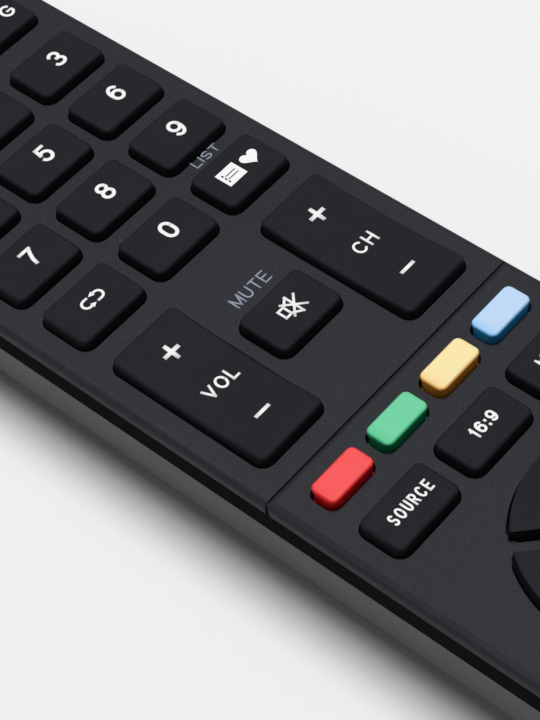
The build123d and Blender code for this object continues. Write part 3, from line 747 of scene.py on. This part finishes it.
class REMOTE_OT_ring_keys(bpy.types.Operator):
    """Model the four arcs of the ring: a section spun round the OK key and cut along the diagonals"""
    bl_idname = "remote.ring_keys"
    bl_label = "Ring Keys"

    def execute(self, context):
        sizes = context.scene.remote_keys
        rubber = bpy.data.materials["key_rubber"]
        centre = middle("key_ok")
        ok_low, ok_high = corners("key_ok")
        inner = (ok_high.x - ok_low.x) / 2 - sizes.flange_width + sizes.ring_gap - 2 * sizes.flare
        outer = corners("nav_up")[1].y - centre.y - sizes.flange_width
        for number, name in enumerate(RING_KEYS):
            low, high = corners(name)
            start = pi / 2 * (number + 1) - RING_SPREAD / 2
            outward = Vector((cos(start), sin(start), 0))
            place = Vector((centre.x, centre.y, (low.z + PLATE_TOP) / 2)) + outward * (inner + outer) / 2
            deselect()
            bpy.ops.mesh.primitive_plane_add(size=1, location=place, rotation=(pi / 2, 0, start))
            stretch((outer - inner, PLATE_TOP - low.z, 1))
            edit()
            bpy.ops.mesh.spin(steps=RING_STEPS, angle=RING_SPREAD, center=(centre.x, centre.y, 0),
                              axis=(0, 0, -1))
            for side in (-1, 1):
                turn = pi / 2 * number + side * pi / 4
                away = Vector((-sin(turn), cos(turn), 0))
                cut(Vector((centre.x, centre.y, 0)) + away * (sizes.ring_slot / 2 - sizes.flare), away,
                    use_fill=True, clear_inner=True)
            weld()
            point_outwards()
            draw_top(sizes.ring_corner_round, sizes.flare)
            round_rim(sizes.edge_round, RIM_SEGMENTS)
            push_flange(low.z, sizes)
            finish_key()
            set_key(name, rubber)
        return {"FINISHED"}


class REMOTE_OT_casing(bpy.types.Operator):
    """Give the casing parts smooth rounds, and their painted and moulded finishes"""
    bl_idname = "remote.casing"
    bl_label = "Casing"

    def execute(self, context):
        colours = context.scene.remote_colours
        belly = moulded_plastic("grey_moulding", colours.belly, 0.5)
        band = moulded_plastic("black_moulding", colours.band, 0.6, 0.0)
        casing = [("faceplate", "housing", painted_plate(colours), "charcoal_plate"),
                  ("front_frame", "housing", band, "black_frame"),
                  ("rear_housing", "housing", belly, "grey_belly"),
                  ("battery_cover", "cover", belly, "grey_belly"),
                  ("ir_window", "housing", window_plastic(colours), "window_plastic")]
        for node, body, material, slot in casing:
            copy_piece(frame["nodes"][node], node + "_shell")
            bpy.ops.object.parent_clear(type="CLEAR_KEEP_TRANSFORM")
            edit()
            weld()
            bpy.ops.mesh.dissolve_limited(angle_limit=FLAT_FACES)
            bpy.ops.object.mode_set(mode="OBJECT")
            smooth(CASING_SMOOTHING)
            stand_in(node, "_shell", material, body)
        return {"FINISHED"}


class REMOTE_OT_inner_parts(bpy.types.Operator):
    """Give the parts inside the casing their finishes"""
    bl_idname = "remote.inner_parts"
    bl_label = "Inner Parts"

    def execute(self, context):
        colours = context.scene.remote_colours
        steel = sheet_metal("nickel_plate", (0.66, 0.64, 0.60), 0.22)
        jacket = cell_jacket()
        finishes = {
            "circuit_board": board_laminate(colours),
            "keypad_mat": soft_rubber("mat_rubber", (0.06, 0.06, 0.063), 0.1),
            "board_screws": sheet_metal("zinc_steel", (0.60, 0.60, 0.63), 0.25),
            "ir_led": clear_epoxy("clear_epoxy", (0.80, 0.84, 0.92), 0.05),
            "status_led": clear_epoxy("red_epoxy", (0.55, 0.02, 0.02), 0.18),
            "controller_chip": moulded_plastic("chip_epoxy", (0.012, 0.012, 0.013), 0.6),
            "resonator": moulded_plastic("resonator_coating", (0.55, 0.17, 0.02), 0.25),
            "capacitor": sheet_metal("capacitor_can", (0.72, 0.73, 0.75), 0.3),
            "battery_cell_a": jacket, "battery_cell_b": jacket,
            "positive_contact": steel, "negative_contact": steel, "bridge_contact": steel,
            "battery_springs": steel}
        for node, material in finishes.items():
            for holder in frame["nodes"][node].material_slots:
                holder.material = material
        return {"FINISHED"}


def heart_outline(steps=28):
    """Outline of a heart, about one unit across."""
    turns = [2 * pi * i / steps for i in range(steps)]
    return [(16 * sin(turn) ** 3 / 32,
             (13 * cos(turn) - 5 * cos(2 * turn) - 2 * cos(3 * turn) - cos(4 * turn)) / 32)
            for turn in turns]


def box_outline(low_x, low_y, high_x, high_y):
    return [(low_x, low_y), (high_x, low_y), (high_x, high_y), (low_x, high_y)]


def bow(x, y, reach_x, reach_y, first, last, steps=14):
    """Points along an arc with its own reach across and up, angles in degrees."""
    turns = [radians(first + (last - first) * i / steps) for i in range(steps + 1)]
    return [(x + reach_x * cos(turn), y + reach_y * sin(turn)) for turn in turns]


# Letters as centre lines in a box of one by one, each after its width as a share of its height
STEM = [(0, 0), (0, 1)]
RIGHT_STEM = [(1, 0), (1, 1)]
RISING, FALLING = [(0, 0), (1, 1)], [(0, 1), (1, 0)]
TOP_BAR, MIDDLE_BAR, FOOT_BAR = [(0, 1), (1, 1)], [(0, 0.52), (0.9, 0.52)], [(0, 0), (1, 0)]
ROUND = bow(0.5, 0.64, 0.5, 0.36, 0, 180) + bow(0.5, 0.36, 0.5, 0.36, 180, 360) + [(1, 0.64)]
LOOP = [(0, 1), (0.55, 1)] + bow(0.6, 0.745, 0.4, 0.255, 90, -90) + [(0, 0.49)]
GLYPHS = {
    "0": (0.66, [ROUND]),
    "1": (0.38, [[(0.9, 0), (0.9, 1)], [(0.85, 0.95), (0.1, 0.74)]]),
    "2": (0.66, [bow(0.5, 0.71, 0.48, 0.29, 165, -32) + [(0.02, 0.02)], FOOT_BAR]),
    "3": (0.66, [bow(0.47, 0.75, 0.45, 0.25, 158, -90), bow(0.47, 0.26, 0.53, 0.26, 90, -158)]),
    "4": (0.70, [[(0.74, 1), (0, 0.28)], [(0, 0.27), (1, 0.27)], [(0.76, 0), (0.76, 1)]]),
    "5": (0.66, [[(0.92, 1), (0.2, 1)], [(0.2, 1), (0.08, 0.52)],
                 bow(0.48, 0.33, 0.52, 0.33, 140, -158)]),
    "6": (0.66, [bow(0.5, 0.32, 0.5, 0.32, 0, 360), bow(0.55, 0.52, 0.55, 0.48, 42, 180) + [(0, 0.32)]]),
    "7": (0.66, [TOP_BAR, [(1, 1), (0.66, 0.62), (0.44, 0.3), (0.36, 0)]]),
    "8": (0.66, [bow(0.5, 0.76, 0.44, 0.24, 0, 360), bow(0.5, 0.27, 0.5, 0.27, 0, 360)]),
    "9": (0.66, [bow(0.5, 0.68, 0.5, 0.32, 0, 360), bow(0.45, 0.48, 0.55, 0.48, -138, 0) + [(1, 0.68)]]),
    ":": (0.16, [[(0.5, 0.02), (0.5, 0.05)], [(0.5, 0.62), (0.5, 0.65)]]),
    "A": (0.86, [[(0, 0), (0.5, 1)], [(0.5, 1), (1, 0)], [(0.2, 0.34), (0.8, 0.34)]]),
    "B": (0.76, [STEM, LOOP, [(0, 0.51), (0.6, 0.51)] + bow(0.6, 0.255, 0.4, 0.255, 90, -90) + [(0, 0)]]),
    "C": (0.86, [bow(0.52, 0.5, 0.52, 0.5, 42, 318)]),
    "E": (0.74, [STEM, TOP_BAR, MIDDLE_BAR, FOOT_BAR]),
    "F": (0.70, [STEM, TOP_BAR, MIDDLE_BAR]),
    "G": (0.90, [bow(0.52, 0.5, 0.52, 0.5, 42, 335), [(0.98, 0.28), (0.98, 0.46), (0.56, 0.46)]]),
    "H": (0.78, [STEM, RIGHT_STEM, [(0, 0.52), (1, 0.52)]]),
    "I": (0.16, [[(0.5, 0), (0.5, 1)]]),
    "K": (0.80, [STEM, [(1, 1), (0, 0.34)], [(0.34, 0.56), (1, 0)]]),
    "L": (0.66, [STEM, FOOT_BAR]),
    "M": (0.92, [STEM, [(0, 1), (0.5, 0.02)], [(0.5, 0.02), (1, 1)], RIGHT_STEM]),
    "N": (0.78, [STEM, FALLING, RIGHT_STEM]),
    "O": (0.90, [bow(0.5, 0.5, 0.5, 0.5, 0, 360, 24)]),
    "P": (0.74, [STEM, LOOP]),
    "R": (0.80, [STEM, LOOP, [(0.55, 0.49), (1, 0)]]),
    "S": (0.76, [bow(0.5, 0.745, 0.46, 0.255, 28, 270), bow(0.5, 0.25, 0.5, 0.25, 90, -152)]),
    "T": (0.78, [TOP_BAR, [(0.5, 0), (0.5, 1)]]),
    "U": (0.78, [[(0, 1), (0, 0.36)] + bow(0.5, 0.36, 0.5, 0.36, 180, 360) + [(1, 1)]]),
    "V": (0.88, [[(0, 1), (0.5, 0)], [(0.5, 0), (1, 1)]]),
    "X": (0.86, [RISING, FALLING]),
    "Z": (0.78, [TOP_BAR, RISING, FOOT_BAR])}
LETTER_SPACING = 0.15    # between two letters, as a share of their height


def lengthened(points, reach):
    """Points of an open line with its ends drawn out: to the full where they run level or upright."""
    drawn = []
    for end, before in ((points[0], points[1]), (points[-1], points[-2])):
        run = Vector((end[0] - before[0], end[1] - before[1])).normalized()
        share = 1.0 if min(abs(run.x), abs(run.y)) < 0.01 else 0.7
        drawn.append((end[0] + run.x * reach * share, end[1] + run.y * reach * share))
    return [drawn[0], *points[1:-1], drawn[1]]


def start_curve(outlines, closed):
    """A flat curve through each run of points given in millimetres, active and at the origin."""
    deselect()
    bpy.ops.curve.primitive_bezier_curve_add(location=(0, 0, 0))
    curve = bpy.context.object.data
    curve.splines.clear()
    for points in outlines:
        spline = curve.splines.new("POLY")
        spline.points.add(len(points) - 1)
        for point, (x, y) in zip(spline.points, points):
            point.co = (x * MM, y * MM, 0, 1)
        spline.use_cyclic_u = closed
    return curve


def make_mesh():
    """Turns the active curve into a mesh."""
    bpy.ops.object.convert(target="MESH")
    edit()
    weld()
    point_outwards()
    bpy.ops.object.mode_set(mode="OBJECT")
    return bpy.context.object


def filled(*outlines):
    """Solid sign of an outline in millimetres; further outlines inside it are holes."""
    curve = start_curve(outlines, True)
    curve.dimensions = "2D"
    curve.fill_mode = "BOTH"
    curve.extrude = 0.1 * MM
    return make_mesh()


def lines(runs, width):
    """Lines of an even width along runs of points in millimetres, round in section until flattened."""
    drawn = []
    for points in runs:
        ring = (Vector(points[0]) - Vector(points[-1])).length < NEAR
        drawn.append([*points, points[1]] if ring else lengthened(points, width / 2))
    curve = start_curve(drawn, False)
    curve.dimensions = "3D"
    curve.bevel_depth = width * MM / 2
    curve.bevel_resolution = 2
    curve.use_fill_caps = True
    return make_mesh()


def word(text, height, stroke, width=None):
    """Letters of a height and, where it is given, a width in millimetres."""
    shares = [GLYPHS[letter][0] for letter in text]
    gaps = LETTER_SPACING * height * (len(text) - 1)
    share = 1 if width is None else (width - gaps) / (sum(shares) * height)
    runs = []
    left = 0
    for letter in text:
        letter_share, strokes = GLYPHS[letter]
        letter_width = max(letter_share * share * height, stroke)
        start, reach, rise = left + stroke / 2, letter_width - stroke, height - stroke
        for points in strokes:
            runs.append([(start + x * reach, stroke / 2 + y * rise) for x, y in points])
        left += letter_width + LETTER_SPACING * height
    return lines(runs, stroke)


def extent(piece):
    """Lowest corner and size of a piece's mesh."""
    places = [vert.co for vert in piece.data.vertices]
    low = Vector([min(place[axis] for place in places) for axis in range(3)])
    high = Vector([max(place[axis] for place in places) for axis in range(3)])
    return low, high - low


def print_on(parts, name, ink, body, base, surface, key=None, centre=None):
    """Joins the parts of a sign and lays it as flat ink on a surface, which dips on a long key."""
    settings, sizes = bpy.context.scene.remote_print, bpy.context.scene.remote_keys
    take(*parts)
    if len(parts) > 1:
        bpy.ops.object.join()
    piece = bpy.context.object
    low, size = extent(piece)
    place = Vector(((centre[0] * MM, centre[1] * MM) if centre else (low + size / 2).xy))
    bpy.ops.object.origin_set(type="ORIGIN_GEOMETRY", center="BOUNDS")
    drop, slope = dish(key, place.y, sizes)
    piece.scale = (1, 1, 2 * settings.ink_height / size.z)
    piece.rotation_euler = (slope, 0, 0)
    piece.location = (base.x + place.x, base.y + place.y, surface - drop)
    return settle(name, ink, body)


def print_on_key(parts, name, ink, key, centre=None):
    """Prints a sign on top of a key."""
    surface = KEY_TOP - (ROUND_KEY_DIP if key in ROUND_KEYS else 0)
    print_on(parts, name, ink, key + "_cap", middle(key), surface, key, centre)


class REMOTE_OT_key_words(bpy.types.Operator):
    """Print the digits and words on the keys"""
    bl_idname = "remote.key_words"
    bl_label = "Digits and Words"

    def execute(self, context):
        settings = context.scene.remote_print
        ink = printing_ink("key_ink", context.scene.remote_colours.key_ink, 0.12)
        heavy, light = settings.digit_stroke / MM, settings.stroke / MM
        words = [(f"key_{digit}", str(digit), settings.digit_height / MM, heavy, None, (0.6, 0.38))
                 for digit in range(10)]
        small = 0.85 * light
        # key, word, height, stroke, width and centre in mm
        words += [("rocker_volume", "VOL", 2.2, light, 5.5, (0.3, -0.39)),
                  ("rocker_channel", "CH", 2.25, light, 3.85, (0.19, -0.35)),
                  ("key_source", "SOURCE", 1.85, small, 7.4, (0.33, 0.16)),
                  ("key_aspect", "16:9", 1.9, light, 4.4, (0.31, 0.25)),
                  ("key_menu", "MENU", 1.85, small, 6.0, (0.2, 0.16)),
                  ("key_guide", "EPG", 2.6, 1.25 * light, 6.6, (1.2, 0.5)),
                  ("key_subtitle", "SUB", 2.0, light, 4.9, (0.2, 0.2)),
                  ("key_text", "TEXT", 1.9, light, 5.7, (0.2, 0.2)),
                  ("key_ok", "OK", 2.6, 1.2 * light, 4.7, (0.0, 0.0)),
                  ("key_back", "BACK", 1.85, small, 5.8, (0.1, 0.16)),
                  ("key_info", "INFO", 1.85, small, 5.0, (0.1, 0.16)),
                  ("key_exit", "EXIT", 1.85, small, 4.8, (0.1, 0.16))]
        for key, text, height, stroke, width, centre in words:
            name = f"digit_{text}" if text.isdigit() else key + "_word"
            print_on_key([word(text, height, stroke, width)], name, ink, key, centre)
        return {"FINISHED"}


class REMOTE_OT_key_signs(bpy.types.Operator):
    """Print the plus and minus, the crossed speaker, the list and heart, arrows and transport signs"""
    bl_idname = "remote.key_signs"
    bl_label = "Signs"

    def sign(self, key, parts, label="sign"):
        print_on_key(parts, f"{key}_{label}", bpy.data.materials["key_ink"], key)

    def execute(self, context):
        stroke = context.scene.remote_print.stroke / MM
        plus = [[(-0.87, 7.74), (1.2, 7.74)], [(0.165, 6.7), (0.165, 8.78)]]
        minus = [[(-0.9, -7.6), (1.1, -7.6)]]
        for key in ROCKERS:
            self.sign(key, [lines(plus, 0.7)], "plus")
            self.sign(key, [lines(minus, 0.63)], "minus")
        box = [(-1.5, -0.68), (-1.5, 0.82), (-0.47, 0.82), (-0.47, -0.68), (-1.5, -0.68)]
        cone = [(-0.42, 0.72), (0.88, 1.75), (0.88, -1.6), (-0.42, -0.6)]
        cross = [[(2.1, 1.3), (-0.55, -1.3)], [(2.1, -1.2), (-0.5, 1.35)]]
        sides = [[box[i], box[i + 1]] for i in range(4)] + [[cone[i], cone[i + 1]] for i in range(3)]
        self.sign("key_mute", [lines(sides + cross, stroke)])
        self.sign("key_favourites", [self.list_card(), self.heart()])
        self.sign("key_recall", self.turning_arrows(stroke))
        power = [bow(0, -0.2, 1.75, 1.75, 125, 415, 24), [(0, 0.2), (0, 2.0)]]
        self.sign("key_power", [lines(power, 1.3 * stroke)])
        for number, key in enumerate(RING_KEYS):
            self.sign(key, [self.arrow(number)], "arrow")
        self.transport()
        return {"FINISHED"}

    def list_card(self):
        """White card with two dark lines between its rows and a dark bullet to each row."""
        gaps = [box_outline(-2.25, y, -0.3, y + 0.17) for y in (-0.25, 0.40)]
        bullets = [box_outline(-2.62, y, -2.36, y + 0.42) for y in (-0.74, -0.07, 0.6)]
        return filled(box_outline(-3.15, -1.32, 0.27, 1.66), *gaps, *bullets)

    def heart(self):
        return filled([(2.47 + 2.97 * x, 0.22 + 2.85 * y) for x, y in heart_outline()])

    def turning_arrows(self, stroke):
        """Two hooks that face each other, each with an arrow at its end."""
        left = [(-0.3, 1.04)] + bow(-0.82, 0.315, 0.725, 0.725, 90, 270) + [(-0.55, -0.41)]
        right = [(0.72, -0.41)] + bow(1.24, 0.315, 0.725, 0.725, -90, 90) + [(0.95, 1.04)]
        tips = [filled([(-0.55, 0.03), (0.25, -0.4), (-0.55, -0.83)]),
                filled([(0.95, 1.46), (0.12, 1.04), (0.95, 0.6)])]
        return [lines([left, right], 1.05 * stroke), *tips]

    def arrow(self, number):
        """Small triangle on an arc of the ring, at the middle of its band."""
        key = RING_KEYS[number]
        sizes = bpy.context.scene.remote_keys
        centre, place = middle("key_ok"), middle(key)
        reach = (abs(place.x - centre.x) + abs(place.y - centre.y) + sizes.ring_corner_round) / MM
        turn = Matrix.Rotation(pi / 2 * number, 2)
        points = []
        for x, y in ((-1.35, reach - 0.6), (1.35, reach - 0.6), (0, reach + 0.9)):
            point = turn @ Vector((x, y))
            points.append((point.x + (centre.x - place.x) / MM, point.y + (centre.y - place.y) / MM))
        return filled(points)

    def transport(self):
        """Rewind, play, forward, record, stop and pause."""
        def triangle(x, way):
            return filled([(x - 0.75 * way, -1.05), (x + 0.75 * way, 0), (x - 0.75 * way, 1.05)])
        self.sign("key_rewind", [triangle(-0.8, -1), triangle(0.8, -1)])
        self.sign("key_play", [filled([(-0.9, -1.3), (1.2, 0), (-0.9, 1.3)])])
        self.sign("key_forward", [triangle(-0.8, 1), triangle(0.8, 1)])
        self.sign("key_record", [filled(bow(0, 0, 1.15, 1.15, 0, 360, 28)[:-1])])
        self.sign("key_stop", [filled(box_outline(-1.05, -1.05, 1.05, 1.05))])
        self.sign("key_pause", [filled(box_outline(-0.95, -1.1, -0.3, 1.1)),
                                filled(box_outline(0.3, -1.1, 0.95, 1.1))])


class REMOTE_OT_plate_words(bpy.types.Operator):
    """Print the words beside the keys on the faceplate"""
    bl_idname = "remote.plate_words"
    bl_label = "Faceplate Words"

    def execute(self, context):
        ink = printing_ink("plate_ink", context.scene.remote_colours.plate_ink, 0.4)
        # word, key that it belongs to, height, stroke, width and centre from that key in mm
        words = [("MUTE", "key_mute", 2.05, 0.27, 6.75, (0.26, 7.27)),
                 ("LIST", "key_favourites", 1.55, 0.24, 4.95, (0.13, 6.46)),
                 ("SIZE", "key_guide", 1.7, 0.25, 5.2, (3.76, 4.45))]
        origin = Vector((0, 0, 0))
        for text, key, height, stroke, width, (x, y) in words:
            place = middle(key)
            centre = (place.x / MM + x, place.y / MM + y)
            print_on([word(text, height, stroke, width)], f"plate_word_{text.lower()}", ink, "housing",
                     origin, PLATE_TOP, None, centre)
        return {"FINISHED"}


class REMOTE_OT_stage(bpy.types.Operator):
    """Lay the pale floor, hang the soft lamp and set up the camera of the photograph"""
    bl_idname = "remote.stage"
    bl_label = "Stage"

    def execute(self, context):
        stage = context.scene.remote_stage
        self.floor(stage)
        self.lamp(stage)
        self.sky(context, stage)
        self.camera(context)
        context.scene.view_settings.view_transform = "Standard"
        return {"FINISHED"}

    def floor(self, stage):
        deselect()
        bpy.ops.mesh.primitive_plane_add(size=stage.floor_size, location=(0, 0, 0))
        floor = bpy.context.object
        floor.name = "floor"
        finish = Finish("floor_paper", Specular_IOR_Level=0.0, Roughness=1.0)
        cloud = finish.noise(400)
        paper = finish.shade(stage.floor_colour, 0.995, 1.005, cloud)
        finish.feed(finish.shader.inputs["Base Color"], paper)
        floor.data.materials.append(finish.material)

    def lamp(self, stage):
        aim = Vector(stage.lamp_aim).normalized()
        bpy.ops.object.light_add(type="AREA", location=aim * stage.lamp_distance)
        lamp = bpy.context.object
        lamp.name = "soft_lamp"
        lamp.rotation_euler = aim.to_track_quat("Z", "Y").to_euler()
        lamp.data.shape = "SQUARE"
        lamp.data.size = stage.lamp_size
        lamp.data.energy = stage.lamp_power

    def sky(self, context, stage):
        world = bpy.data.worlds.new("studio")
        world.use_nodes = True
        tree = world.node_tree
        background = tree.nodes["Background"]
        background.inputs["Color"].default_value = (1, 1, 1, 1)
        background.inputs["Strength"].default_value = stage.sky
        seen = tree.nodes.new("ShaderNodeBackground")
        seen.inputs["Color"].default_value = BACKDROP
        rays = tree.nodes.new("ShaderNodeLightPath")
        mix = tree.nodes.new("ShaderNodeMixShader")
        tree.links.new(rays.outputs["Is Camera Ray"], mix.inputs[0])
        tree.links.new(background.outputs[0], mix.inputs[1])
        tree.links.new(seen.outputs[0], mix.inputs[2])
        tree.links.new(mix.outputs[0], tree.nodes["World Output"].inputs["Surface"])
        context.scene.world = world

    def camera(self, context):
        bpy.ops.object.camera_add(location=CAMERA_PLACE)
        camera = bpy.context.object
        camera.name = "camera"
        facing = Matrix((CAMERA_RIGHT, CAMERA_UP, CAMERA_RIGHT.cross(CAMERA_UP))).transposed()
        camera.rotation_euler = facing.to_euler()
        camera.data.sensor_fit = "AUTO"
        camera.data.sensor_width = CAMERA_SENSOR
        camera.data.lens = CAMERA_LENS
        camera.data.clip_start = NEAREST_SEEN
        context.scene.camera = camera


class REMOTE_PT_panel(bpy.types.Panel):
    """Steps that dress the remote, in the order in which they are run"""
    bl_idname = "REMOTE_PT_panel"
    bl_label = "Universal Remote Control"
    bl_space_type = "VIEW_3D"
    bl_region_type = "UI"
    bl_category = "Remote"

    def draw(self, context):
        for step in STEPS:
            self.layout.operator(step.bl_idname)


STEPS = [REMOTE_OT_block_keys, REMOTE_OT_rocker_keys, REMOTE_OT_round_keys, REMOTE_OT_ring_keys,
         REMOTE_OT_casing, REMOTE_OT_inner_parts, REMOTE_OT_key_words, REMOTE_OT_key_signs,
         REMOTE_OT_plate_words, REMOTE_OT_stage]
GROUPS = {"remote_keys": RemoteKeySizes, "remote_print": RemotePrintSizes,
          "remote_colours": RemoteColours, "remote_stage": RemoteStage}


def register():
    for name, group in GROUPS.items():
        bpy.utils.register_class(group)
        setattr(bpy.types.Scene, name, bpy.props.PointerProperty(type=group))
    for step in STEPS:
        bpy.utils.register_class(step)
    bpy.utils.register_class(REMOTE_PT_panel)


def unregister():
    bpy.utils.unregister_class(REMOTE_PT_panel)
    for step in reversed(STEPS):
        bpy.utils.unregister_class(step)
    for name, group in GROUPS.items():
        delattr(bpy.types.Scene, name)
        bpy.utils.unregister_class(group)


def main():
    register()
    for step in STEPS:
        family, name = step.bl_idname.split(".")
        getattr(getattr(bpy.ops, family), name)()


if __name__ == "__main__":
    main()
